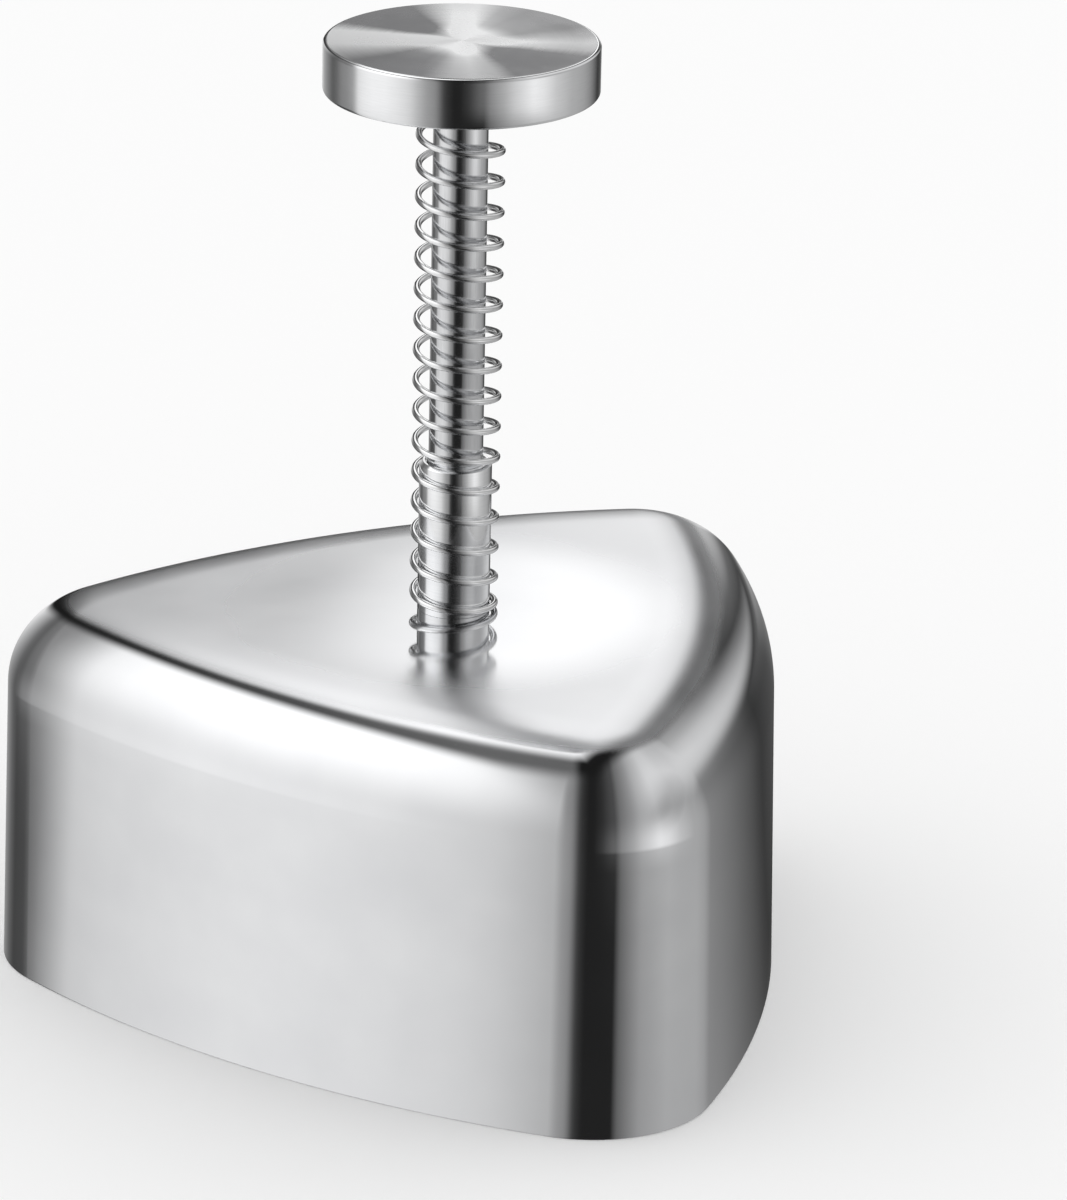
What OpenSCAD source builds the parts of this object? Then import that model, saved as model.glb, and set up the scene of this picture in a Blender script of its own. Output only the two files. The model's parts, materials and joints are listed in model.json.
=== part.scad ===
// Spring-loaded mold press for shaped rice.
// A rounded-triangle steel shell, open below, is pushed into the rice. Pressing the button
// slides the rod and the plate inside down against the spring, which frees the shaped food.
// Millimetres, +Z up. The origin is on the plunger's axis, in the plane of the shell's rim.

/* [Mold shell] */
// Distance from the axis to the centre of each corner's curve
corner_spread = 36.4; // [28:0.2:50]
// Radius of each corner at the rim, seen from above
corner_r = 13.8; // [12.8:0.1:20]
// Radius of each long side at the rim, seen from above
side_r = 131.6; // [90:0.2:240]
// Height of the shell
shell_h = 43.1; // [34:0.1:60]
// Thickness of the shell's sheet
shell_wall = 1; // [0.6:0.1:1.5]
// Slope of the walls, in degrees from upright
wall_draft = 1.15; // [0.1:0.05:2.5]
// Radius of the curve between the walls and the top
crown_r = 10.5; // [5:0.1:11.5]

/* [Guide sleeve] */
// Thickness of the sleeve's wall above the shell
sleeve_wall = 0.94; // [0.8:0.02:2]
// Height of the sleeve above the shell
sleeve_h = 17.2; // [15:0.1:28]
// Chamfers at the sleeve's mouth, as a share of its wall
sleeve_chamfer_share = 0.35; // [0.1:0.05:0.45]
// Step in from the sleeve to its threaded spigot
spigot_step = 0.4; // [0.3:0.05:0.5]
// Length of the spigot past its nut
spigot_tail = 0.4; // [0.2:0.1:1.5]
// Width of the washer's ring under the shell's top
sleeve_washer_w = 3.3; // [2:0.1:6]
// Thickness of that washer
sleeve_washer_t = 0.8; // [0.5:0.1:1.5]
// Least wall of the sleeve's nut
sleeve_nut_wall = 1.4; // [1:0.1:3]
// Thickness of the sleeve's nut
sleeve_nut_t = 2.5; // [1.8:0.1:4]

/* [Button and rod] */
// Diameter of the push rod
rod_d = 6; // [5.5:0.1:8]
// Height of the button's underside above the shell's top
button_rise = 59.3; // [50:0.1:80]
// Diameter of the button
button_d = 30; // [18:0.5:45]
// Thickness of the button
button_h = 5.6; // [5:0.1:10]
// Radius of the button's edges
button_edge_r = 0.4; // [0.2:0.1:1.2]
// Diameter of the threaded stud on top of the rod
stud_d = 5; // [3:0.5:5]
// Length of that stud
stud_h = 3.6; // [2.5:0.1:4]
// Chamfer at the stud's end
stud_chamfer = 0.4; // [0.2:0.1:0.8]

/* [Press plate] */
// Thickness of the plate
plate_t = 1.5; // [1:0.1:3]
// Gap all round between the plate and the shell, where they come closest
plate_gap = 0.5; // [0.3:0.1:2]
// Diameter of the stop washer
stop_washer_d = 12; // [9:0.5:16]
// Thickness of the stop washer
stop_washer_t = 1; // [0.8:0.1:2]

/* [Plate screw] */
// Diameter of the screw's shank
screw_d = 4; // [3:0.5:4]
// Length of the shank inside the rod
screw_grip = 8; // [5:0.5:15]
// Diameter of the screw's head
screw_head_d = 8; // [6.5:0.5:12]
// Height of the screw's head
screw_head_h = 2.2; // [1.8:0.1:4]
// Length of each arm pair of the cross recess
recess_l = 4; // [2.5:0.1:4.5]
// Width of the cross recess
recess_w = 0.9; // [0.5:0.1:1.2]
// Depth of the cross recess
recess_h = 1.2; // [0.8:0.1:1.3]
// Outside diameter of the split lock washer
lock_washer_d = 7; // [6.5:0.5:10]
// Thickness of the lock washer
lock_washer_t = 0.9; // [0.6:0.1:1.5]
// Width of the lock washer's split
lock_split = 0.8; // [0.4:0.1:1.5]

/* [Spring] */
// Diameter of the spring's wire
wire_d = 0.75; // [0.5:0.05:0.85]
// Turns of the spring
spring_turns = 17.2; // [12:0.1:18]
// Clear gap under the first turn and over the last one
end_gap = 0.55; // [0.45:0.05:1]
// Direction in which the wire starts on the shell, in degrees
spring_start = 68; // [0:1:360]

/* [Clearances] */
// Running clearance of the rod in the sleeve, on the radius
rod_gap = 0.06; // [0.02:0.01:0.1]
// Clearance between threaded pieces, on the radius
thread_gap = 0.03; // [0.01:0.01:0.05]
// Clearance round what passes through a plain hole, on the radius
hole_gap = 0.1; // [0.05:0.05:0.15]
// Clearance between the spring and the sleeve, on the radius
spring_gap = 0.15; // [0.12:0.01:0.5]
// Clearance at each end of the spring
seat_gap = 0.05; // [0.02:0.01:0.1]
// Clearance at the plunger's upper stop
stop_gap = 0.1; // [0.05:0.05:0.3]

/* [Hidden] */
$fn = 120;
polished = [0.82, 0.83, 0.85];
turned = [0.74, 0.75, 0.78];
plain = [0.62, 0.63, 0.66];
wire = [0.7, 0.71, 0.74];
lap = 1; // how far cuts and joined forms run past each other

// Plan of the shell: three corner curves joined by three side curves that are tangent to them.
corner_turns = [60, 180, 300]; // direction of each corner from the axis
half_chord = corner_spread * sin(60);
side_reach = side_r - corner_r; // from a side curve's centre to the corner curves' centres
side_back = sqrt(side_reach ^ 2 - half_chord ^ 2) - corner_spread / 2;
side_half = 60 - atan2(side_back * sin(60), corner_spread + side_back * cos(60));
seam = 0.03; // step between a corner's surface and a side's
run_on = 5; // angle by which a corner's form runs on inside the sides

// Sleeve and its fixing, from the shell's top down.
sleeve_bore_d = rod_d + 2 * rod_gap;
sleeve_d = sleeve_bore_d + 2 * sleeve_wall;
sleeve_chamfer = sleeve_wall * sleeve_chamfer_share;
spigot_d = sleeve_d - 2 * spigot_step;
shell_hole_d = spigot_d + 2 * hole_gap;
sleeve_washer_z = shell_h - shell_wall - sleeve_washer_t;
sleeve_nut_z = sleeve_washer_z - sleeve_nut_t;
sleeve_foot_z = sleeve_nut_z - spigot_tail;

// Plunger at rest, held up by the spring.
button_z = shell_h + button_rise;
rod_z = sleeve_foot_z - stop_gap;
stop_washer_z = rod_z - stop_washer_t;
plate_z = stop_washer_z - plate_t;
lock_washer_z = plate_z - lock_washer_t;
screw_hole_d = screw_d + 2 * hole_gap;
thread_end = 0.5; // depth of a blind thread past the end of what is screwed into it
travel = button_rise - sleeve_h - stop_gap;

// Spring: an open coil whose first and last turns lie closer than the rest.
tube_sides = 6;
rings_per_turn = 16;
end_turns = 0.25; // closer turns at each end
blend_turns = 0.3; // the pitch changes over this much
ring_count = ceil(spring_turns * rings_per_turn);
coil_r = sleeve_d / 2 + spring_gap + wire_d / 2;
coil_z = shell_h + seat_gap + wire_d / 2;
coil_rise = button_rise - 2 * seat_gap - wire_d;
end_pitch = wire_d + end_gap;
active_turns = spring_turns - 2 * end_turns - blend_turns;
pitch_gain = (coil_rise - end_pitch * spring_turns) / active_turns;

// Distance that the inside of the shell's wall lies in from the rim's outline at height z.
function cavity_inset(z) =
    let (curve = crown_r - shell_wall, centre_z = shell_h - crown_r, up = z - centre_z)
    up <= curve * sin(wall_draft)
        ? shell_wall / cos(wall_draft) + z * tan(wall_draft)
        : (shell_wall + curve) / cos(wall_draft) + centre_z * tan(wall_draft) - sqrt(curve ^ 2 - up ^ 2);

// Turns of full pitch gained after the pitch has blended from closer to open.
function ease(u) = u <= 0 ? 0 : u < blend_turns ? u ^ 2 / (2 * blend_turns) : u - blend_turns / 2;

function coil_height(u) =
    coil_z + end_pitch * u
    + pitch_gain * (ease(u - end_turns) - ease(u - spring_turns + end_turns + blend_turns));

// The wire climbs clockwise, seen from above: a left-handed coil.
function coil_turn(i) = spring_turns * i / ring_count;
function coil_angle(i) = spring_start - 360 * coil_turn(i);
function coil_point(i) =
    [coil_r * cos(coil_angle(i)), coil_r * sin(coil_angle(i)), coil_height(coil_turn(i))];

// Least distance between a turn's surface and the next one's.
function coil_gap() =
    min([for (i = [0 : ring_count])
             for (j = [i + rings_per_turn / 2 : 1 : min(ring_count, i + 1.5 * rings_per_turn)])
                 norm(coil_point(i) - coil_point(j))]) - wire_d;

echo(str("Spring's least gap to itself: ", coil_gap(), " mm"));
echo(str("Spring pressed to ", sleeve_h, " mm, its turns closed up at ", spring_turns * wire_d, " mm"));
echo(str("Plunger's travel: ", travel, " mm"));

// Centre of the side curve that faces the given direction.
function side_centre(turn) = -side_back * [cos(turn), sin(turn)];
function corner_centre(turn) = corner_spread * [cos(turn), sin(turn)];

// Half section of the shell's form, with x measured from the centre of a plan curve of radius r.
module wall_section(r, inner, inset, top, crown) {
    centre_z = top - crown;
    centre_x = r - inset - centre_z * tan(wall_draft) - crown / cos(wall_draft);
    foot_x = r - inset + lap * tan(wall_draft);
    polygon([[inner, -lap], [foot_x, -lap],
             [centre_x + crown * cos(wall_draft), centre_z + crown * sin(wall_draft)],
             [centre_x, centre_z], [centre_x, top], [inner, top]]);
    translate([centre_x, centre_z])
        intersection() {
            circle(r = crown);
            square(crown);
        }
}

// The shell's form, moved in by inset, down to below the rim. The corners lie a hair inside the
// sides where the two are tangent, so that their surfaces never coincide.
module shell_form(inset, top, crown) {
    for (turn = corner_turns) {
        translate(corner_centre(turn))
            rotate_extrude(angle = 2 * (60 - side_half + run_on), start = turn - 60 + side_half - run_on)
                wall_section(corner_r, 0, inset + seam, top - seam, crown - seam);
        translate(side_centre(turn + 60))
            rotate_extrude(angle = 2 * side_half, start = turn + 60 - side_half)
                wall_section(side_r, side_reach * cos(side_half) - lap, inset, top, crown);
    }
    translate([0, 0, -lap])
        linear_extrude(top + lap)
            polygon([for (turn = corner_turns) corner_centre(turn)]);
}

// The plan outline, moved in by inset.
module plan_outline(inset) {
    for (turn = corner_turns) {
        translate(corner_centre(turn))
            circle(r = corner_r - inset);
        side = side_centre(turn + 60);
        intersection() {
            translate(side)
                circle(r = side_r - inset, $fn = 720);
            polygon([corner_centre(turn),
                     corner_centre(turn) + 2 * (corner_centre(turn) - side) * corner_r / side_reach,
                     corner_centre(turn + 120) + 2 * (corner_centre(turn + 120) - side) * corner_r / side_reach,
                     corner_centre(turn + 120)]);
        }
    }
    polygon([for (turn = corner_turns) corner_centre(turn)]);
}

// Flat washer standing on z = 0.
module washer(d, bore, h) {
    difference() {
        cylinder(d = d, h = h);
        translate([0, 0, -lap])
            cylinder(d = bore, h = h + 2 * lap);
    }
}

module mold_shell() {
    color(polished)
        difference() {
            intersection() {
                shell_form(0, shell_h, crown_r);
                cylinder(r = 2 * (corner_spread + corner_r), h = shell_h + lap);
            }
            shell_form(shell_wall / cos(wall_draft), shell_h - shell_wall, crown_r - shell_wall);
            translate([0, 0, shell_h - shell_wall - lap])
                cylinder(d = shell_hole_d, h = shell_wall + 2 * lap);
        }
}

module guide_sleeve() {
    foot = sleeve_foot_z - shell_h;
    bore_r = sleeve_bore_d / 2;
    color(polished)
        translate([0, 0, shell_h])
            rotate_extrude()
                polygon([[bore_r, foot], [spigot_d / 2, foot], [spigot_d / 2, 0], [sleeve_d / 2, 0],
                         [sleeve_d / 2, sleeve_h - sleeve_chamfer], [sleeve_d / 2 - sleeve_chamfer, sleeve_h],
                         [bore_r + sleeve_chamfer, sleeve_h], [bore_r, sleeve_h - sleeve_chamfer]]);
}

module sleeve_washer() {
    color(plain)
        translate([0, 0, sleeve_washer_z])
            washer(shell_hole_d + 2 * sleeve_washer_w, shell_hole_d, sleeve_washer_t);
}

// Thin hexagonal nut, its corners turned down at 30 degrees on both faces.
module sleeve_nut() {
    flats_r = spigot_d / 2 + thread_gap + sleeve_nut_wall;
    corners_r = flats_r / cos(30);
    face_r = 0.95 * flats_r; // round face inside the flats
    color(plain)
        translate([0, 0, sleeve_nut_z])
            difference() {
                intersection() {
                    cylinder(r = corners_r, h = sleeve_nut_t, $fn = 6);
                    cylinder(r1 = face_r, r2 = face_r + sleeve_nut_t / tan(30), h = sleeve_nut_t);
                    cylinder(r1 = face_r + sleeve_nut_t / tan(30), r2 = face_r, h = sleeve_nut_t);
                }
                translate([0, 0, -lap])
                    cylinder(d = spigot_d + 2 * thread_gap, h = sleeve_nut_t + 2 * lap);
            }
}

// One unbroken tube swept along the coil, closed by a flat cap at each end.
module return_spring() {
    tilt = atan(coil_rise / spring_turns / (2 * PI * coil_r));
    points = [
        for (i = [0 : ring_count])
            for (k = [0 : tube_sides - 1])
                let (a = coil_angle(i), side = 360 * (k + 0.5) / tube_sides,
                     out = wire_d / 2 * cos(side), up = wire_d / 2 * sin(side))
                coil_point(i) + [out * cos(a) - up * sin(tilt) * sin(a),
                                 out * sin(a) + up * sin(tilt) * cos(a),
                                 up * cos(tilt)]
    ];
    sides = [
        for (i = [0 : ring_count - 1])
            for (k = [0 : tube_sides - 1])
                let (next = (k + 1) % tube_sides, low = i * tube_sides, high = low + tube_sides)
                each [[low + k, high + k, high + next], [low + k, high + next, low + next]]
    ];
    last = ring_count * tube_sides;
    caps = [
        for (k = [1 : tube_sides - 2])
            each [[0, k, k + 1], [last, last + k + 1, last + k]]
    ];
    color(wire)
        polyhedron(points = points, faces = concat(sides, caps), convexity = 10);
}

module press_button() {
    edge_x = button_d / 2 - button_edge_r;
    color(turned)
        translate([0, 0, button_z])
            difference() {
                rotate_extrude() {
                    square([edge_x, button_h]);
                    translate([0, button_edge_r])
                        square([button_d / 2, button_h - 2 * button_edge_r]);
                    for (z = [button_edge_r, button_h - button_edge_r])
                        translate([edge_x, z])
                            intersection() {
                                circle(r = button_edge_r);
                                translate([0, -button_edge_r])
                                    square([button_edge_r, 2 * button_edge_r]);
                            }
                }
                translate([0, 0, -lap])
                    cylinder(d = stud_d + 2 * thread_gap, h = stud_h + thread_end + lap);
            }
}

// Rod with a threaded stud above its shoulder and a tapped hole below.
module push_rod() {
    color(polished)
        difference() {
            union() {
                translate([0, 0, rod_z])
                    cylinder(d = rod_d, h = button_z - rod_z);
                translate([0, 0, button_z - lap])
                    cylinder(d = stud_d, h = lap + stud_h - stud_chamfer);
                translate([0, 0, button_z + stud_h - stud_chamfer])
                    cylinder(d1 = stud_d, d2 = stud_d - 2 * stud_chamfer, h = stud_chamfer);
            }
            translate([0, 0, rod_z - lap])
                cylinder(d = screw_d + 2 * thread_gap, h = screw_grip + thread_end + lap);
        }
}

module stop_washer() {
    color(plain)
        translate([0, 0, stop_washer_z])
            washer(stop_washer_d, screw_hole_d, stop_washer_t);
}

module press_plate() {
    color(turned)
        translate([0, 0, plate_z])
            difference() {
                linear_extrude(plate_t)
                    plan_outline(cavity_inset(plate_z + plate_t) + plate_gap);
                translate([0, 0, -lap])
                    cylinder(d = screw_hole_d, h = plate_t + 2 * lap);
            }
}

module plate_lock_washer() {
    color(plain)
        translate([0, 0, lock_washer_z])
            difference() {
                washer(lock_washer_d, screw_hole_d, lock_washer_t);
                translate([0, -lock_split / 2, -lap])
                    cube([lock_washer_d, lock_split, lock_washer_t + 2 * lap]);
            }
}

// Domed screw, head down, with a cross recess in its head.
module plate_screw() {
    dome_r = ((screw_head_d / 2) ^ 2 + screw_head_h ^ 2) / (2 * screw_head_h);
    head_z = lock_washer_z - screw_head_h;
    color(plain)
        difference() {
            union() {
                translate([0, 0, lock_washer_z - lap / 2])
                    cylinder(d = screw_d, h = lap / 2 + rod_z - lock_washer_z + screw_grip);
                intersection() {
                    translate([0, 0, head_z + dome_r])
                        sphere(r = dome_r);
                    translate([0, 0, head_z - lap])
                        cylinder(d = 2 * screw_head_d, h = screw_head_h + lap);
                }
            }
            for (turn = [0, 90])
                rotate(turn)
                    translate([-recess_l / 2, -recess_w / 2, head_z - lap])
                        cube([recess_l, recess_w, recess_h + lap]);
        }
}

mold_shell();
guide_sleeve();
sleeve_washer();
sleeve_nut();
return_spring();
press_button();
push_rod();
stop_washer();
press_plate();
plate_lock_washer();
plate_screw();
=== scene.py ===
"""Looks of a spring-loaded rice mold press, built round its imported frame. Lengths are in metres."""

import json
from math import atan, atan2, ceil, cos, pi, radians, sin, sqrt, tan

import bpy
from mathutils import Matrix, Vector
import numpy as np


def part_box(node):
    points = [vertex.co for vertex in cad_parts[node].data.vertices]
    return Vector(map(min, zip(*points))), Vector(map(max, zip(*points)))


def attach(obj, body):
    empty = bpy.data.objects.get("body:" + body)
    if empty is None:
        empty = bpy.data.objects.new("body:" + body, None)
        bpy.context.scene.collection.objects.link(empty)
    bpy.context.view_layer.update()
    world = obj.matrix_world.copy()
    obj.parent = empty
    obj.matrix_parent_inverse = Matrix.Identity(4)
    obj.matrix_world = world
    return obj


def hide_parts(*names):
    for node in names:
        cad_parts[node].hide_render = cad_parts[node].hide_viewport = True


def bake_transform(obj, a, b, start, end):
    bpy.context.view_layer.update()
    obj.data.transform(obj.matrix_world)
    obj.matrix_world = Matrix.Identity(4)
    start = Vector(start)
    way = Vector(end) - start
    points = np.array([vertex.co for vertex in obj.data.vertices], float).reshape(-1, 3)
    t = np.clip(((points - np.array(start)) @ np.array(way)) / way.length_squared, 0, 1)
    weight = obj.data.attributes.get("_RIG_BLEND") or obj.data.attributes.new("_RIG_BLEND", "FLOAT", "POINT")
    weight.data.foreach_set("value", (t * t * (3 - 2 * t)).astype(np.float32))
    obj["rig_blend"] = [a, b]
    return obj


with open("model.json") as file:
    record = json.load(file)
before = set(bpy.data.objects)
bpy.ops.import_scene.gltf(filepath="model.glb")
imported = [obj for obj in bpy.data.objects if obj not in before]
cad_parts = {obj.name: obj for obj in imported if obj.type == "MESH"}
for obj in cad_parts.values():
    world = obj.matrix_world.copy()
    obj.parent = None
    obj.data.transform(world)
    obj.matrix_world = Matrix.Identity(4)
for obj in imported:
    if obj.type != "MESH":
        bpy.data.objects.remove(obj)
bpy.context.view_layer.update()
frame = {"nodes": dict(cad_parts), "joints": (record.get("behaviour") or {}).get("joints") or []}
MM = 0.001

# ---------------------------------------------------------------- sizes, from the frame or as built
SHELL_LOW, SHELL_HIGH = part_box("mold_shell")
SLEEVE_LOW, SLEEVE_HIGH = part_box("guide_sleeve")
BUTTON_LOW, BUTTON_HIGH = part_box("press_button")
ROD_LOW, ROD_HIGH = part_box("push_rod")
PLATE_LOW, PLATE_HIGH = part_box("press_plate")
TRAVEL = frame["joints"][0]["range_m"][1]

# Shell: three corner curves joined by three side curves, then walls, crown, shoulder and top.
CORNER_SPREAD = 36.4 * MM
CORNER_R = -SHELL_LOW.x - CORNER_SPREAD
SIDE_R = 131.6 * MM
SHELL_TOP = SHELL_HIGH.z
WALL = 1.0 * MM
DRAFT = radians(1.15)
CROWN_R = 10.5 * MM
LIP_R = 0.3 * MM
LIP_STEPS = 7
DOME_SAG = 0.3 * MM
SHOULDER_R = 31.0 * MM
SHOULDER_START = radians(83)
SHOULDER_END = radians(90)
TOP_RINGS = 24
CORNER_TURNS = [radians(turn) for turn in (60, 180, 300)]
SIDE_REACH = SIDE_R - CORNER_R
SIDE_BACK = sqrt(SIDE_REACH**2 - (CORNER_SPREAD * sin(pi / 3)) ** 2) - CORNER_SPREAD / 2
SIDE_HALF = pi / 3 - atan2(SIDE_BACK * sin(pi / 3), CORNER_SPREAD + SIDE_BACK * cos(pi / 3))

# Sleeve, rod, button and plate.
SLEEVE_R = SLEEVE_HIGH.x
SLEEVE_CHAMFER = 0.33 * MM
SLEEVE_EDGE_R = 0.06 * MM
SPIGOT_R = SLEEVE_R - 0.4 * MM
SHELL_HOLE_R = SPIGOT_R + 0.1 * MM
ROD_R = ROD_HIGH.x
ROD_EDGE_R = 0.1 * MM
BORE_R = ROD_R + 0.06 * MM
STUD_R = 2.5 * MM
STUD_CHAMFER = 0.4 * MM
STUD_SIDE_GAP = 0.03 * MM
STUD_END_GAP = 0.5 * MM
BUTTON_R = BUTTON_HIGH.x
BUTTON_EDGE_R = 0.4 * MM
BUTTON_HOLE_EDGE_R = 0.1 * MM
BUTTON_FACE_DEPTH = 0.02 * MM
PLATE_EDGE_R = 0.35 * MM
PLATE_EDGE_REACH = 4 * MM
PLATE_RINGS = 10
PLATE_HOLE_R = 2.1 * MM
SCREW_HOLE_R = 2.03 * MM
SCREW_HOLE_H = 8.5 * MM

# Spring: an open left-handed coil whose first and last turns lie closer than the rest.
WIRE_R = 0.375 * MM
COIL_R = SLEEVE_R + 0.15 * MM + WIRE_R
COIL_TURNS = 17.2
COIL_START = radians(68)
COIL_SEAT = 0.05 * MM
COIL_Z = SHELL_TOP + COIL_SEAT + WIRE_R
COIL_RISE = BUTTON_LOW.z - SHELL_TOP - 2 * (COIL_SEAT + WIRE_R)
END_PITCH = 1.3 * MM
END_TURNS = 0.25
BLEND_TURNS = 0.3
PITCH_GAIN = (COIL_RISE - END_PITCH * COIL_TURNS) / (COIL_TURNS - 2 * END_TURNS - BLEND_TURNS)

# ---------------------------------------------------------------- meshes
SMOOTH_ANGLE = radians(35)


def new_piece(name, points, faces):
    """A mesh object, smooth but for edges sharper than SMOOTH_ANGLE."""
    mesh = bpy.data.meshes.new(name)
    mesh.from_pydata([tuple(p) for p in points], [], faces)
    mesh.validate()
    mesh.polygons.foreach_set("use_smooth", [True] * len(mesh.polygons))
    mesh.set_sharp_from_angle(angle=SMOOTH_ANGLE)
    piece = bpy.data.objects.new(name, mesh)
    bpy.context.scene.collection.objects.link(piece)
    return piece


def loft(name, rings, closed=True):
    """Joins rings of points in order. A ring of one point is a pole; closed joins last to first."""
    points, starts, faces = [], [], []
    for ring in rings:
        starts.append(len(points))
        points += ring
    for i in range(len(rings) if closed else len(rings) - 1):
        j = (i + 1) % len(rings)
        low, high = starts[i], starts[j]
        count = max(len(rings[i]), len(rings[j]))
        for k in range(count):
            n = (k + 1) % count
            if len(rings[i]) == 1:
                faces.append((low, high + n, high + k))
            elif len(rings[j]) == 1:
                faces.append((low + k, low + n, high))
            else:
                faces.append((low + k, low + n, high + n, high + k))
    return new_piece(name, points, faces)


def rounded(corners, steps=5):
    """A closed outline through corners of (x, z, radius), each rounded to its radius."""
    outline = []
    for i, (x, z, radius) in enumerate(corners):
        here = Vector((x, z))
        into = (Vector(corners[i - 1][:2]) - here).normalized()
        out = (Vector(corners[(i + 1) % len(corners)][:2]) - here).normalized()
        if radius == 0:
            outline.append(here)
            continue
        half = into.angle(out) / 2
        centre = here + (into + out).normalized() * (radius / sin(half))
        for s in range(steps + 1):
            share = s / steps
            first = here + into * (radius / tan(half)) - centre
            last = here + out * (radius / tan(half)) - centre
            outline.append(centre + (first * (1 - share) + last * share).normalized() * radius)
    return outline


def lathe(name, outline, closed=True, segments=160):
    """Revolves an outline of (r, z) round the Z axis. A point on the axis becomes a pole."""
    rings = []
    for r, z in outline:
        count = segments if r > 0 else 1
        turns = [2 * pi * k / segments for k in range(count)]
        rings.append([Vector((r * cos(turn), r * sin(turn), z)) for turn in turns])
    return loft(name, rings, closed)


def plan_marks(corner_steps=56, side_steps=40):
    """The shell's plan as (centre, outward direction, radius at the rim), anticlockwise."""
    marks = []
    for turn in CORNER_TURNS:
        corner = CORNER_SPREAD * Vector((cos(turn), sin(turn)))
        sweep = pi / 3 - SIDE_HALF
        for s in range(corner_steps):
            a = turn + sweep * (2 * s / corner_steps - 1)
            marks.append((corner, Vector((cos(a), sin(a))), CORNER_R))
        facing = turn + pi / 3
        side = -SIDE_BACK * Vector((cos(facing), sin(facing)))
        for s in range(side_steps):
            a = facing + SIDE_HALF * (2 * s / side_steps - 1)
            marks.append((side, Vector((cos(a), sin(a))), SIDE_R))
    return marks


def plan_ring(marks, inset, z):
    """The plan outline moved in by inset, at height z."""
    height = Vector((0, 0, z))
    return [(centre + out * (radius - inset)).to_3d() + height for centre, out, radius in marks]


def disc_rings(outer, hole_r, z, steps):
    """Flat rings that lead from an outer ring in to a round hole."""
    rings = []
    for s in range(1, steps + 1):
        share = s / steps
        flats = [p.to_2d() * (1 - share) + p.to_2d().normalized() * hole_r * share for p in outer]
        rings.append([flat.to_3d() + Vector((0, 0, z)) for flat in flats])
    return rings


def domed(rings):
    """The shell's rings, with the top sinking slightly from the sleeve out to the corners."""
    wall_top = SHELL_TOP - CROWN_R
    bent = []
    for ring in rings:
        bent.append([])
        for p in ring:
            share = min(max((p.z - wall_top) / CROWN_R, 0), 1)
            reach = max(p.to_2d().length - SLEEVE_R, 0) / CORNER_SPREAD
            bent[-1].append(p - Vector((0, 0, DOME_SAG * reach**2 * share**2 * (3 - 2 * share))))
    return bent


def wall_profile(thickness, steps=16):
    """(inset, z) up one face of the shell's wall, over its crown and along the easy shoulder that
    leads on to the top, a thickness inside the outer face."""
    crown, shoulder = CROWN_R - thickness, SHOULDER_R - thickness
    crown_rise = CROWN_R * sin(SHOULDER_START)
    shoulder_rise = SHOULDER_R * (sin(SHOULDER_END) - sin(SHOULDER_START))
    centre_z = SHELL_TOP - shoulder_rise - crown_rise
    centre_inset = centre_z * tan(DRAFT) + CROWN_R / cos(DRAFT)
    profile = []
    for s in range(steps):
        z = LIP_R + (centre_z - LIP_R) * s / steps
        profile.append((thickness / cos(DRAFT) + z * tan(DRAFT), z))
    for s in range(2 * steps):
        a = DRAFT + (SHOULDER_START - DRAFT) * s / (2 * steps)
        profile.append((centre_inset - crown * cos(a), centre_z + crown * sin(a)))
    far_inset = centre_inset + (SHOULDER_R - CROWN_R) * cos(SHOULDER_START)
    far_z = centre_z - (SHOULDER_R - CROWN_R) * sin(SHOULDER_START)
    for s in range(steps + 1):
        a = SHOULDER_START + (SHOULDER_END - SHOULDER_START) * s / steps
        profile.append((far_inset - shoulder * cos(a), far_z + shoulder * sin(a)))
    return profile


def make_shell():
    """The shell as one closed run of rings: lip, outer face, top, hole, underside, inner face."""
    marks = plan_marks()
    lip = []
    for s in range(1, LIP_STEPS):
        a = pi * s / (2 * LIP_STEPS)
        lip.append((LIP_R * (1 - sin(a)), LIP_R * (1 - cos(a))))
    outside = [plan_ring(marks, inset, z) for inset, z in lip + wall_profile(0)]
    inside = [plan_ring(marks, inset, z) for inset, z in wall_profile(WALL)]
    above = disc_rings(outside[-1], SHELL_HOLE_R, SHELL_TOP, TOP_RINGS)
    below = disc_rings(inside[-1], SHELL_HOLE_R, SHELL_TOP - WALL, TOP_RINGS)
    inner_lip = [plan_ring(marks, WALL - inset, z) for inset, z in lip]
    rings = outside + above + below[::-1] + inside[::-1] + inner_lip[::-1]
    return loft("shell_skin", domed(rings))


def make_plate():
    """The flat press plate, its edges rounded over."""
    marks = plan_marks(corner_steps=40, side_steps=20)
    edge = CORNER_SPREAD + CORNER_R + PLATE_LOW.x
    within = edge + PLATE_EDGE_REACH
    outline = rounded([
        (edge, PLATE_LOW.z, PLATE_EDGE_R), (edge, PLATE_HIGH.z, PLATE_EDGE_R),
        (within, PLATE_HIGH.z, 0), (within, PLATE_LOW.z, 0)])
    rings = [plan_ring(marks, inset, z) for inset, z in outline[:-2]]
    above = disc_rings(rings[-1], PLATE_HOLE_R, PLATE_HIGH.z, PLATE_RINGS)
    below = disc_rings(rings[0], PLATE_HOLE_R, PLATE_LOW.z, PLATE_RINGS)
    return loft("plate_disc", rings + above + below[::-1])


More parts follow.
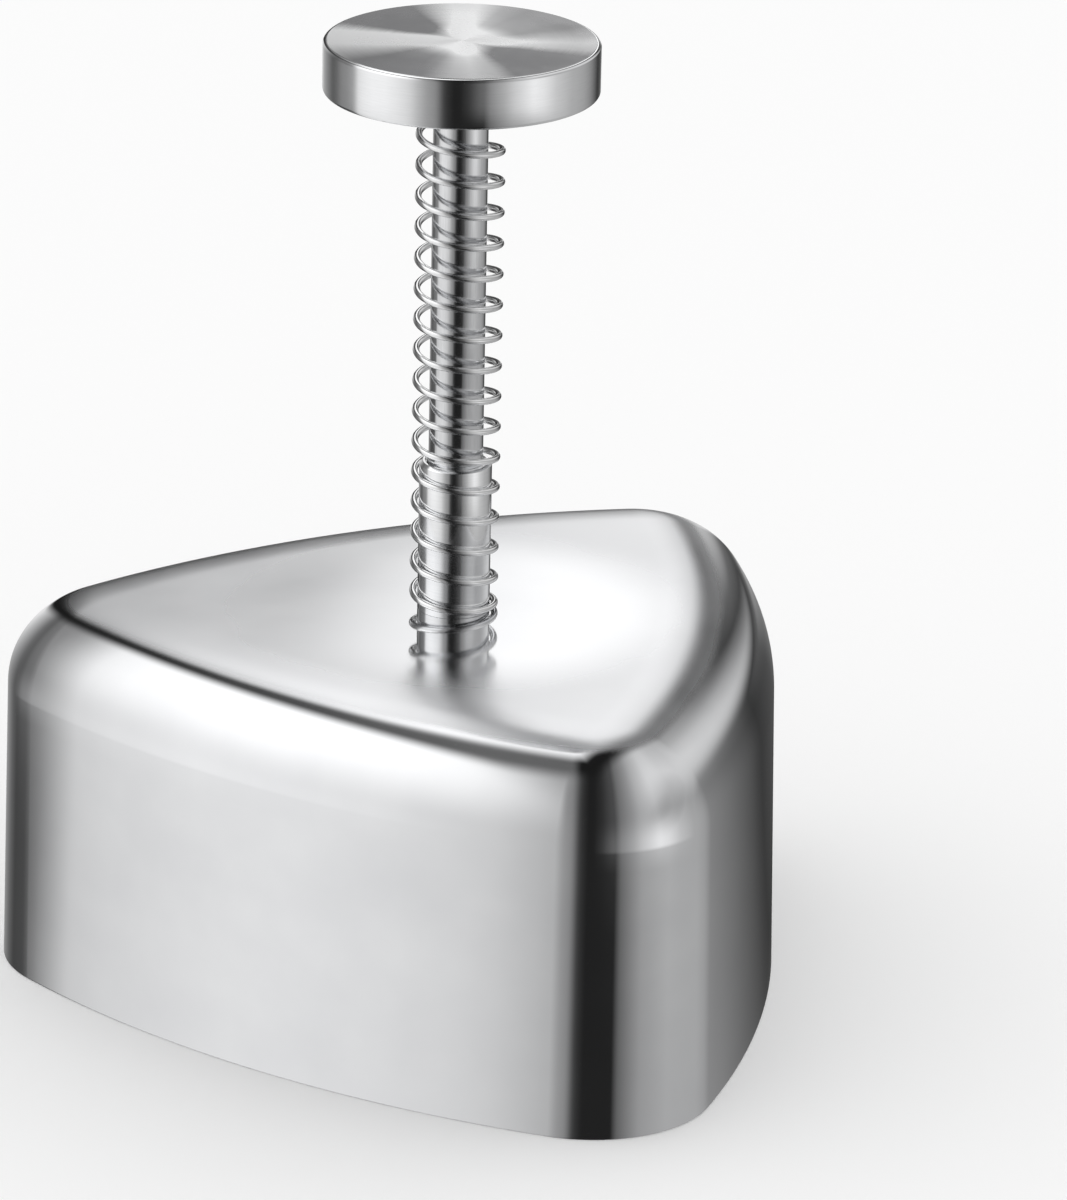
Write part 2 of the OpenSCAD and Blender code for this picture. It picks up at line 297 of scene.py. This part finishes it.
def make_sleeve():
    """A tube with a chamfered mouth, stepped in below the shell's top to a spigot."""
    shoulder_z = SLEEVE_HIGH.z - SLEEVE_CHAMFER
    return lathe("sleeve_tube", rounded([
        (BORE_R, SLEEVE_LOW.z, SLEEVE_EDGE_R), (SPIGOT_R, SLEEVE_LOW.z, SLEEVE_EDGE_R),
        (SPIGOT_R, SHELL_TOP, 0), (SLEEVE_R, SHELL_TOP, SLEEVE_EDGE_R),
        (SLEEVE_R, shoulder_z, SLEEVE_EDGE_R),
        (SLEEVE_R - SLEEVE_CHAMFER, SLEEVE_HIGH.z, SLEEVE_EDGE_R),
        (BORE_R + SLEEVE_CHAMFER, SLEEVE_HIGH.z, SLEEVE_EDGE_R),
        (BORE_R, shoulder_z, SLEEVE_EDGE_R)]))


def make_rod():
    """A round bar with a screw's hole in its lower end and a chamfered stud on its upper end."""
    hole_z = ROD_LOW.z + SCREW_HOLE_H
    outline = rounded([
        (SCREW_HOLE_R, hole_z, 0), (SCREW_HOLE_R, ROD_LOW.z, ROD_EDGE_R),
        (ROD_R, ROD_LOW.z, ROD_EDGE_R), (ROD_R, BUTTON_LOW.z, 0), (STUD_R, BUTTON_LOW.z, 0),
        (STUD_R, ROD_HIGH.z - STUD_CHAMFER, 0), (STUD_R - STUD_CHAMFER, ROD_HIGH.z, 0)])
    return lathe("rod_bar", [(0, hole_z)] + outline + [(0, ROD_HIGH.z)], closed=False)


def make_button():
    """A thick disc with rounded edges and a blind hole for the rod's stud."""
    hole_r, hole_z = STUD_R + STUD_SIDE_GAP, ROD_HIGH.z + STUD_END_GAP
    outline = rounded([
        (hole_r, hole_z, 0), (hole_r, BUTTON_LOW.z, BUTTON_HOLE_EDGE_R),
        (BUTTON_R, BUTTON_LOW.z, BUTTON_EDGE_R), (BUTTON_R, BUTTON_HIGH.z, BUTTON_EDGE_R)], 7)
    edge = BUTTON_R - BUTTON_EDGE_R
    top = [(edge * share, BUTTON_HIGH.z) for share in (0.995, 0.97, 0.8, 0.6, 0.4, 0.2, 0.05)]
    return lathe("button_disc", [(0, hole_z)] + outline + top + [(0, BUTTON_HIGH.z)],
                 closed=False, segments=256)


def eased(u):
    """Turns of full pitch gained once the pitch has blended from close to open."""
    if u <= 0:
        return 0
    return u * u / (2 * BLEND_TURNS) if u < BLEND_TURNS else u - BLEND_TURNS / 2


def coil_height(u):
    """Height of the wire's middle after u turns."""
    gain = eased(u - END_TURNS) - eased(u - COIL_TURNS + END_TURNS + BLEND_TURNS)
    return COIL_Z + END_PITCH * u + PITCH_GAIN * gain


def make_spring(rings_per_turn=72, sides=16):
    """A round wire swept along the coil. Each cross-section keeps one share of the plunger's
    travel, so that the wire stays round while the coil closes evenly."""
    ring_count = ceil(COIL_TURNS * rings_per_turn)
    slope = atan(COIL_RISE / COIL_TURNS / (2 * pi * COIL_R))
    rings, shares = [], []
    for i in range(ring_count + 1):
        u = COIL_TURNS * i / ring_count
        a = COIL_START - 2 * pi * u
        out = Vector((cos(a), sin(a), 0))
        up = Vector((-sin(slope) * sin(a), sin(slope) * cos(a), cos(slope)))
        middle = out * COIL_R + Vector((0, 0, coil_height(u)))
        turns = [2 * pi * k / sides for k in range(sides)]
        rings.append([middle + WIRE_R * (out * cos(t) + up * sin(t)) for t in turns])
        closed_rise = (COIL_RISE - TRAVEL) * u / COIL_TURNS
        shares += [(coil_height(u) - COIL_Z - closed_rise) / TRAVEL] * sides
    ends = [[sum(ring, Vector()) / sides] for ring in (rings[0], rings[-1])]
    spring = loft("spring_wire", [ends[0]] + rings + [ends[1]], closed=False)
    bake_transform(spring, "housing", "plunger", start=(0, 0, SHELL_TOP), end=(0, 0, BUTTON_LOW.z))
    spring.data.attributes["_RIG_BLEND"].data.foreach_set("value", [0.0] + shares + [1.0])
    return spring


# ---------------------------------------------------------------- shader building


class Signal:
    """A number in a node tree that adds, multiplies and shapes like a plain one."""

    def __init__(self, tree, socket):
        self.tree = tree
        self.socket = socket

    def math(self, operation, *others):
        node = self.tree.nodes.new("ShaderNodeMath")
        node.operation = operation
        for socket, value in zip(node.inputs, (self, *others)):
            feed(self.tree, value, socket)
        return Signal(self.tree, node.outputs[0])

    def __add__(self, other):
        return self.math("ADD", other)

    def __sub__(self, other):
        return self.math("SUBTRACT", other)

    def __mul__(self, other):
        return self.math("MULTIPLY", other)

    def blend(self, low, high, start=0.0, end=1.0):
        """Runs smoothly from start to end while this goes from low to high."""
        node = self.tree.nodes.new("ShaderNodeMapRange")
        node.interpolation_type = "SMOOTHSTEP"
        for socket, value in zip(node.inputs, (self, low, high, start, end)):
            feed(self.tree, value, socket)
        return Signal(self.tree, node.outputs[0])


def feed(tree, value, socket):
    """Links a signal, or sets a plain value, on a socket."""
    if isinstance(value, Signal):
        tree.links.new(value.socket, socket)
    else:
        socket.default_value = value


def add_node(tree, kind, settings=None, **inputs):
    """A node with its settings, and its inputs by name with _ for a blank."""
    node = tree.nodes.new(kind)
    for name, value in (settings or {}).items():
        setattr(node, name, value)
    for name, value in inputs.items():
        feed(tree, value, node.inputs[name.replace("_", " ")])
    return node


def output(node, name=0):
    """One output of a node, by name or number, as a signal."""
    return Signal(node.id_data, node.outputs[name])


def ramp(signal, stops):
    """A colour ramp of grey or coloured stops, (place, tone)."""
    node = add_node(signal.tree, "ShaderNodeValToRGB", Fac=signal)
    elements = node.color_ramp.elements
    for i, (place, tone) in enumerate(stops):
        element = elements[i] if i < 2 else elements.new(place)
        element.position = place
        colour = tone if isinstance(tone, tuple) else (tone,) * 3
        element.color = (*colour, 1)
    return output(node)


def ring_ramp(turn, stops):
    """A tone that follows a turn in degrees, from stops of (degrees, tone)."""
    return ramp(turn * (1 / 360) + 0.5, [(degrees / 360 + 0.5, tone) for degrees, tone in stops])


def place_signals(tree):
    """The x, y and z of the shaded point, in millimetres."""
    point = output(add_node(tree, "ShaderNodeTexCoord"), "Object")
    parts = add_node(tree, "ShaderNodeSeparateXYZ", Vector=point)
    return [output(parts, axis) * (1 / MM) for axis in "XYZ"]


def from_axis(x, y):
    """Distance from the Z axis."""
    return (x * x + y * y).math("SQRT")


def noise(tree, x, y, z, detail=3.0):
    """Noise over three signals or numbers, one feature to each unit."""
    point = add_node(tree, "ShaderNodeCombineXYZ", X=x, Y=y, Z=z)
    return output(add_node(tree, "ShaderNodeTexNoise", Vector=output(point), Scale=1.0, Detail=detail))


def clouds(size):
    """Soft patches of the given size in millimetres."""
    def signal(tree):
        x, y, z = [part * (1 / size) for part in place_signals(tree)]
        return noise(tree, x, y, z)
    return signal


def streaks(detail, per_x, per_y, per_z):
    """Grain with so many features to a millimetre along each axis. More detail adds finer ones."""
    def signal(tree):
        x, y, z = place_signals(tree)
        return noise(tree, x * per_x, y * per_y, z * per_z, detail)
    return signal


def turned_rings(per_mm, detail=1.5):
    """Rings round the Z axis, as a lathe tool leaves them on a face."""
    def signal(tree):
        x, y, _ = place_signals(tree)
        radius = from_axis(x, y)
        return noise(tree, radius * per_mm, radius * (per_mm * 0.31), 0.0, detail)
    return signal


# ---------------------------------------------------------------- materials
# The painted highlights and painted shade of the button's spun face: bright and dark wedges fixed in its
# colour, as (degrees round it from the right, tone).
PAINTED_HIGHLIGHT_WEDGES = [
    (-180, 1.0), (-166, 0.95), (-152, 0.65), (-138, 0.38), (-112, 0.36), (-102, 0.42), (-90, 0.62),
    (-80, 0.7), (-68, 0.6), (-56, 0.3), (-42, 0.14), (-30, 0.1), (-20, 0.34), (-8, 0.68), (4, 0.8),
    (16, 0.62), (30, 0.46), (64, 0.48), (76, 0.58), (88, 0.9), (100, 0.9), (112, 0.6), (124, 0.26),
    (138, 0.1), (150, 0.14), (161, 0.5), (172, 1.0), (180, 1.0)]
# How finely the painted highlight wedges are ragged from ring to ring, by how much, and the share of their
# tone left at the rim.
WEDGE_RINGS_PER_MM = 6.0
WEDGE_RAGGED = 5.0
PAINTED_HIGHLIGHT_RIM_TONE = 0.72
# A painted highlight in the face's middle: its tone, and the radii in millimetres over which it fades out.
PAINTED_MIDDLE_HIGHLIGHT = 0.6
PAINTED_MIDDLE_HIGHLIGHT_R = (0.3, 7.0)
SATIN_DEPTH = (1.7, 1.0)
SATIN_R = (13.0, 28.0)
SATIN = 0.24


def metal(name, dark, bright, grain, haze, roughness, relief,
          pattern=None, soften=None, anisotropy=0.0, turned=0.0):
    """A steel whose grain sets fine relief and streaks, and whose haze clouds the polish.

    grain, haze, pattern and soften take the node tree and give signals. A pattern sets the tone in place of
    the streaks, and can paint highlights and shade into it; soften adds to the roughness, which else runs
    between the two given.
    relief is in metres, and anisotropy stretches highlights round the Z axis, turned by a share of
    a full turn."""
    material = bpy.data.materials.new(name)
    material.use_nodes = True
    tree = material.node_tree
    shader = tree.nodes["Principled BSDF"]
    grain_signal, haze_signal = grain(tree), haze(tree)
    tone = pattern(tree) if pattern else grain_signal * 0.5 + haze_signal * 0.5
    shader.inputs["Metallic"].default_value = 1.0
    feed(tree, ramp(tone, [(0.3, dark), (0.7, bright)]), shader.inputs["Base Color"])
    rough = haze_signal.blend(0.3, 0.7, *roughness)
    if soften:
        rough = rough + soften(tree)
    feed(tree, rough, shader.inputs["Roughness"])
    bump = add_node(tree, "ShaderNodeBump", Height=grain_signal, Strength=1.0, Distance=relief)
    feed(tree, output(bump), shader.inputs["Normal"])
    if anisotropy:
        shader.inputs["Anisotropic"].default_value = anisotropy
        shader.inputs["Anisotropic Rotation"].default_value = turned
        tangent = add_node(tree, "ShaderNodeTangent", {"direction_type": "RADIAL", "axis": "Z"})
        feed(tree, output(tangent), shader.inputs["Tangent"])
    return material


def painted_highlight_wedges(tree):
    """Painted highlights and painted shade: the bright and dark wedges that a spun face's reflections make,
    fixed in its colour, fanning out from its middle, ragged from ring to ring, dimmer toward the rim, and a
    painted highlight added in the middle.
    """
    x, y, _ = place_signals(tree)
    ragged = (turned_rings(WEDGE_RINGS_PER_MM)(tree) - 0.5) * WEDGE_RAGGED
    painted_wedges = ring_ramp(y.math("ARCTAN2", x) * (180 / pi) + ragged, PAINTED_HIGHLIGHT_WEDGES)
    radius = from_axis(x, y)
    # The painted highlights dim toward the rim, and a painted highlight is added in the middle.
    fading = radius.blend(0.0, BUTTON_R / MM, 1.0, PAINTED_HIGHLIGHT_RIM_TONE)
    return painted_wedges * fading + radius.blend(*PAINTED_MIDDLE_HIGHLIGHT_R, PAINTED_MIDDLE_HIGHLIGHT, 0.0)


def satin_top(tree):
    """The flat top is a little less polished than the walls, but for the ring round the sleeve."""
    x, y, z = place_signals(tree)
    deep, shallow = [SHELL_TOP / MM - depth for depth in SATIN_DEPTH]
    return z.blend(deep, shallow) * from_axis(x, y).blend(*SATIN_R, 0.0, SATIN)


def shell_steel():
    return metal(
        "polished_shell", (0.82, 0.825, 0.84), (0.89, 0.895, 0.905), streaks(2.0, 0.05, 0.05, 0.09),
        clouds(9.0), (0.05, 0.08), 0.002 * MM, soften=satin_top)


def sleeve_steel():
    return metal(
        "turned_sleeve", (0.86, 0.865, 0.875), (0.96, 0.965, 0.97), streaks(4.0, 0.3, 0.3, 9.0),
        clouds(3.0), (0.06, 0.10), 0.0004 * MM)


def rod_steel():
    return metal(
        "ground_rod", (0.72, 0.725, 0.735), (0.84, 0.845, 0.855), streaks(4.0, 6.0, 6.0, 0.4),
        clouds(3.0), (0.09, 0.13), 0.0002 * MM)


def rim_steel():
    return metal(
        "turned_rim", (0.88, 0.885, 0.895), (0.95, 0.955, 0.965), streaks(4.0, 0.4, 0.4, 7.0),
        clouds(4.0), (0.07, 0.11), 0.0003 * MM)


# The spun face's dark and bright tones are the painted shade and painted highlights of its wedges.
def face_steel():
    return metal(
        "spun_face_painted_highlights", (0.20, 0.20, 0.207), (0.98, 0.985, 0.99), turned_rings(7.0),
        clouds(5.0), (0.24, 0.32), 0.001 * MM, pattern=painted_highlight_wedges, anisotropy=0.7, turned=0.25)


def wire_steel():
    return metal(
        "drawn_wire", (0.84, 0.845, 0.85), (0.95, 0.95, 0.955), streaks(3.0, 2.0, 2.0, 2.0),
        clouds(1.5), (0.10, 0.16), 0.0003 * MM)


def plate_steel():
    return metal(
        "brushed_plate", (0.62, 0.63, 0.65), (0.78, 0.785, 0.80), streaks(5.0, 0.15, 8.0, 4.0),
        clouds(7.0), (0.24, 0.34), 0.001 * MM)


def fastener_steel():
    return metal(
        "plain_steel", (0.52, 0.525, 0.535), (0.70, 0.705, 0.715), streaks(4.0, 3.0, 3.0, 3.0),
        clouds(1.2), (0.26, 0.4), 0.002 * MM)


# ---------------------------------------------------------------- pieces
CARRIED_OVER = ("sleeve_washer", "sleeve_nut", "stop_washer", "plate_lock_washer", "plate_screw")


def dress(piece, body, node, slot_name, *materials):
    """Puts a piece on its body in a node's place, with its materials. Its slot name is not used."""
    if "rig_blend" not in piece:
        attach(piece, body)
    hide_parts(node)
    for material in materials:
        piece.data.materials.append(material)


def dress_button(rim, face):
    """The button's edge and underside take the rim's steel, and its flat top the spun one with its painted
    highlights and shade.
    """
    button = make_button()
    dress(button, "plunger", "press_button", "spun_steel", rim, face)
    for polygon in button.data.polygons:
        on_top = polygon.center.z > BUTTON_HIGH.z - BUTTON_FACE_DEPTH
        polygon.material_index = 1 if on_top else 0


def dress_fasteners(steel):
    """The washers, the nut and the screw keep their own meshes."""
    for node in CARRIED_OVER:
        mesh = frame["nodes"][node].data
        mesh.materials.clear()
        mesh.materials.append(steel)


def make_pieces():
    """Every visible piece, on its body and in its steel."""
    dress(make_shell(), "housing", "mold_shell", "polished_shell", shell_steel())
    dress(make_sleeve(), "housing", "guide_sleeve", "polished_steel", sleeve_steel())
    dress(make_spring(), "housing", "return_spring", "spring_wire", wire_steel())
    dress(make_rod(), "plunger", "push_rod", "polished_steel", rod_steel())
    dress(make_plate(), "plunger", "press_plate", "plate_steel", plate_steel())
    dress_button(rim_steel(), face_steel())
    dress_fasteners(fastener_steel())


# ---------------------------------------------------------------- camera and floor
LENS = 225.05
SENSOR = 36.0
CAMERA_AT = Vector((66.148, -773.169, 332.859)) * MM
CAMERA_AZIMUTH = radians(4.238)
CAMERA_ELEVATION = radians(20.415)
CAMERA_ROLL = radians(1.132)
FLOOR_R = 6.0
PAPER_COLOUR = (0.97, 0.97, 0.97, 1)


def make_camera():
    """The photo's camera, as its fit to the outline gave it."""
    data = bpy.data.cameras.new("camera")
    data.lens = LENS
    data.sensor_width = SENSOR
    camera = bpy.data.objects.new("camera", data)
    bpy.context.scene.collection.objects.link(camera)
    turned = Matrix.Rotation(CAMERA_AZIMUTH, 4, "Z")
    tipped = Matrix.Rotation(pi / 2 - CAMERA_ELEVATION, 4, "X")
    rolled = Matrix.Rotation(CAMERA_ROLL, 4, "Z")
    camera.matrix_world = Matrix.Translation(CAMERA_AT) @ turned @ tipped @ rolled
    bpy.context.scene.camera = camera


def make_floor():
    """A pale floor, clear from below so that the mold can be looked into."""
    corners = [
        (-FLOOR_R, -FLOOR_R, 0), (FLOOR_R, -FLOOR_R, 0), (FLOOR_R, FLOOR_R, 0), (-FLOOR_R, FLOOR_R, 0)]
    floor = new_piece("floor", corners, [(0, 1, 2, 3)])
    floor.visible_glossy = False
    material = bpy.data.materials.new("floor_paper")
    material.use_nodes = True
    tree = material.node_tree
    paper = tree.nodes["Principled BSDF"]
    paper.inputs["Base Color"].default_value = PAPER_COLOUR
    paper.inputs["Roughness"].default_value = 1.0
    paper.inputs["Specular IOR Level"].default_value = 0.0
    below = output(add_node(tree, "ShaderNodeNewGeometry"), "Backfacing")
    clear = add_node(tree, "ShaderNodeBsdfTransparent")
    mix = add_node(tree, "ShaderNodeMixShader", Fac=below)
    tree.links.new(paper.outputs[0], mix.inputs[1])
    tree.links.new(clear.outputs[0], mix.inputs[2])
    tree.links.new(mix.outputs[0], tree.nodes["Material Output"].inputs["Surface"])
    floor.data.materials.append(material)


# ---------------------------------------------------------------- light tent
# The tent's tones are laid out by the facing that mirrors each spot of it to the front: x to the
# right, y to the back and z up, each from -1 to 1, or degrees round from the front.
TENT_R = 3.0
SIDE_PANELS = [
    (-180, 0.50), (-90, 0.55), (-66, 0.12), (-60, 0.05), (-51, 0.06), (-47.2, 0.12),
    (-45.3, 0.38), (-43.7, 0.64), (-41, 0.72), (-35, 0.80), (-29, 0.84), (-23, 0.79), (-19, 0.69),
    (-16.5, 0.57), (-14.5, 0.42), (-10.4, 0.21), (-6, 0.12), (-2, 0.03), (1, 0.005),
    (14.2, 0.005), (16.8, 0.12), (27, 0.33), (41, 0.43), (60, 0.41), (67, 0.35), (73, 0.25),
    (79, 0.12), (84, 0.03), (92, 0.08), (108, 0.45), (180, 0.50)]
# Extra light just above the horizon, which the rod and the button's rim mirror.
BRIGHT_STRIPS = [
    (-180, 0.0), (-64, 0.0), (-56, 0.16), (-48, 0.22), (-44, 0.12), (-35, 0.14), (-26, 0.06),
    (-18, 0.0), (4, 0.0), (8, 0.03), (13, 0.12), (18, 0.14), (23, 0.18), (29, 0.32), (36, 0.5),
    (41, 0.38), (48, 0.16), (58, 0.0), (180, 0.0)]
# The overhead panel's tones from its left end to its right, and its edges as lines: how much of
# x, how much of y, and a step. A line is above zero beyond its edge.
OVERHEAD_TONES = [
    (0.0, 0.03), (0.45, 0.07), (0.66, 0.15), (0.76, 0.36), (0.81, 0.62), (0.84, 0.84),
    (0.865, 0.96), (0.89, 1.03), (0.92, 1.12), (0.96, 1.2)]
RIGHT_EDGE = (1.0, 0.6, -0.228)
FRONT_RIGHT_EDGE = (0.836, -0.549, -0.25)
FRONT_EDGE = (0.0, -1.0, -0.5)
LEFT_EDGE = (-0.8, -0.6, -0.45)
GAP_TONE = 0.012
FRONT_GAP_TONE = 0.13


def tent_facing(tree):
    """The x, y and z of the facing that mirrors a spot of the tent to the front."""
    front = (sin(CAMERA_AZIMUTH) * cos(CAMERA_ELEVATION),
             -cos(CAMERA_AZIMUTH) * cos(CAMERA_ELEVATION), sin(CAMERA_ELEVATION))
    spot = output(add_node(tree, "ShaderNodeTexCoord"), "Object")
    away = add_node(tree, "ShaderNodeVectorMath", {"operation": "NORMALIZE"})
    feed(tree, spot, away.inputs[0])
    halfway = add_node(tree, "ShaderNodeVectorMath", {"operation": "ADD"})
    feed(tree, output(away), halfway.inputs[0])
    halfway.inputs[1].default_value = front
    facing = add_node(tree, "ShaderNodeVectorMath", {"operation": "NORMALIZE"})
    feed(tree, output(halfway), facing.inputs[0])
    parts = add_node(tree, "ShaderNodeSeparateXYZ", Vector=output(facing))
    return [output(parts, axis) for axis in "XYZ"]


def beyond(x, y, edge):
    """How far a facing lies beyond one edge of the overhead panel."""
    share_x, share_y, step = edge
    return x * share_x + y * share_y + step


def side_tone(x, y, z):
    """The panels round the sides, which the walls, the crown, the rod and the rim mirror."""
    turn = x.math("ARCTAN2", y * -1.0) * (180 / pi)
    # Higher up, the panels brighten on the left and darken on the right.
    lift = z.blend(0.15, 0.7) * x.blend(-0.24, -0.14, 0.5, -0.25) + 1.0
    # The highlight of the right shoulder: higher up the panels brighten, and drift round to it.
    lift = lift + z.blend(0.4, 0.75) * x.blend(0.1, 0.7, 0.0, 0.95)
    drift = z.blend(0.1, 0.45) * z.blend(0.6, 0.9, 1.0, 0.2)
    drift = drift * x.blend(0.4, 0.62, 0.0, 20.0) * x.blend(0.7, 0.84, 1.0, 0.0)
    panels = ring_ramp(turn - drift, SIDE_PANELS) * lift
    strips = ring_ramp(turn, BRIGHT_STRIPS) * z.blend(0.0, 0.055) * z.blend(0.1, 0.4, 1.0, 0.5)
    return panels + strips


def tent_tone(tree):
    """Brightness of the tent: a panel overhead, panels round the sides and a dark gap between."""
    x, y, z = tent_facing(tree)
    tones = ramp((x - y * 0.85) * 2.0 + 0.9, OVERHEAD_TONES)
    fading_back = y.blend(0.03, 0.25, 1.0, 0.06)
    right = beyond(x, y, RIGHT_EDGE).math("MAXIMUM", beyond(x, y, FRONT_RIGHT_EDGE))
    right = right.math("MAXIMUM", beyond(x, y, FRONT_EDGE))
    left = beyond(x, y, LEFT_EDGE)
    overhead = right.blend(-0.09, 0.05, 1.0, 0.0) * left.blend(-0.06, 0.03, 1.0, 0.0)
    beside = right.blend(0.09, 0.21).math("MAXIMUM", left.blend(0.05, 0.14))
    front_gap = x.blend(-0.4, -0.17) * x.blend(-0.12, -0.04, FRONT_GAP_TONE, 0.0)
    gap = front_gap * y.blend(-0.35, -0.2, 1.0, 0.0) + GAP_TONE
    return tones * fading_back * overhead + side_tone(x, y, z) * beside + gap


def tent_cloth():
    """The tent's glowing material."""
    material = bpy.data.materials.new("tent_cloth")
    material.use_nodes = True
    material.cycles.emission_sampling = "NONE"
    tree = material.node_tree
    tree.nodes.remove(tree.nodes["Principled BSDF"])
    glow = add_node(tree, "ShaderNodeEmission")
    feed(tree, tent_tone(tree), glow.inputs["Strength"])
    tree.links.new(glow.outputs[0], tree.nodes["Material Output"].inputs["Surface"])
    return material


def make_tent():
    """A light tent round the stage, which only reflections see."""
    bpy.ops.mesh.primitive_ico_sphere_add(subdivisions=4, radius=TENT_R)
    tent = bpy.context.object
    tent.name = "light_tent"
    tent.data.materials.append(tent_cloth())
    tent.visible_camera = False
    tent.visible_diffuse = False
    tent.visible_transmission = False
    tent.visible_shadow = False


def make_world():
    """An even white world for the floor and for what is behind it, unseen by reflections."""
    world = bpy.data.worlds.new("studio")
    bpy.context.scene.world = world
    world.use_nodes = True
    world.node_tree.nodes["Background"].inputs["Color"].default_value = (1, 1, 1, 1)
    world.node_tree.nodes["Background"].inputs["Strength"].default_value = 1.0
    world.cycles_visibility.glossy = False


make_camera()
make_floor()
make_tent()
make_world()
make_pieces()
bpy.context.scene.view_settings.view_transform = "Standard"
